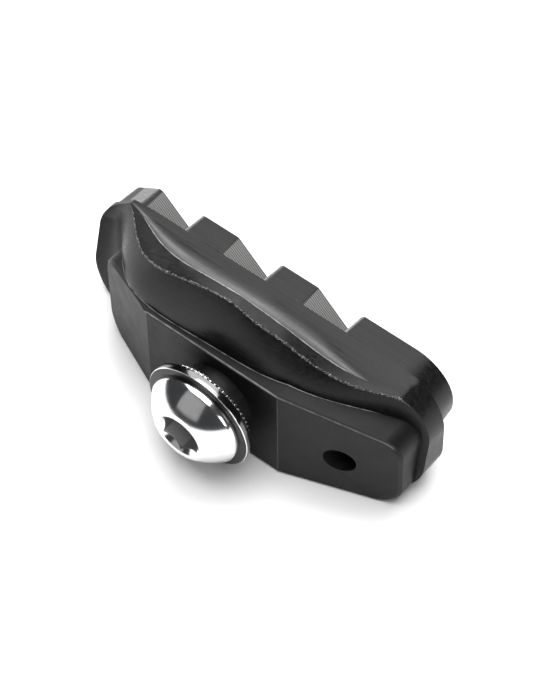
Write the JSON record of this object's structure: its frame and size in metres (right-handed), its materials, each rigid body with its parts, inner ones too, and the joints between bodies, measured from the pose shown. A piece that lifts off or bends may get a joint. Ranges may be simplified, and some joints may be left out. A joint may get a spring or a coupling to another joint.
{
  "type": "bicycle rim brake pad",
  "caption": "Bicycle caliper brake shoe: a winged black rubber pad with a chevron tread, moulded on a black holder that is clamped by a domed hex-socket bolt with washers.",
  "frame": {"origin": "on the fixing bolt's axis, in the plane of the holder's flat back face", "axes": "+X along the rim from the rounded tip to the tail, +Y from the back face towards the rim, +Z from the straight side up to the wing; the shoe lies on its straight side"},
  "size_m": [0.0511, 0.0229, 0.023],
  "materials": {
    "pad_rubber": "satin black moulded rubber",
    "holder_plastic": "matte black moulded plastic",
    "nut_steel": "plain zinc-plated steel",
    "bolt_chrome": "bright chrome plate",
    "washer_chrome": "bright plate",
    "lock_washer_steel": "bright zinc-plated spring steel"
  },
  "bodies": {
    "root": {"rubber_pad": "pad_rubber", "holder": "holder_plastic", "insert_nut": "nut_steel", "fixing_bolt": "bolt_chrome", "plain_washer": "washer_chrome", "lock_washer": "lock_washer_steel"}
  },
  "joints": []
}
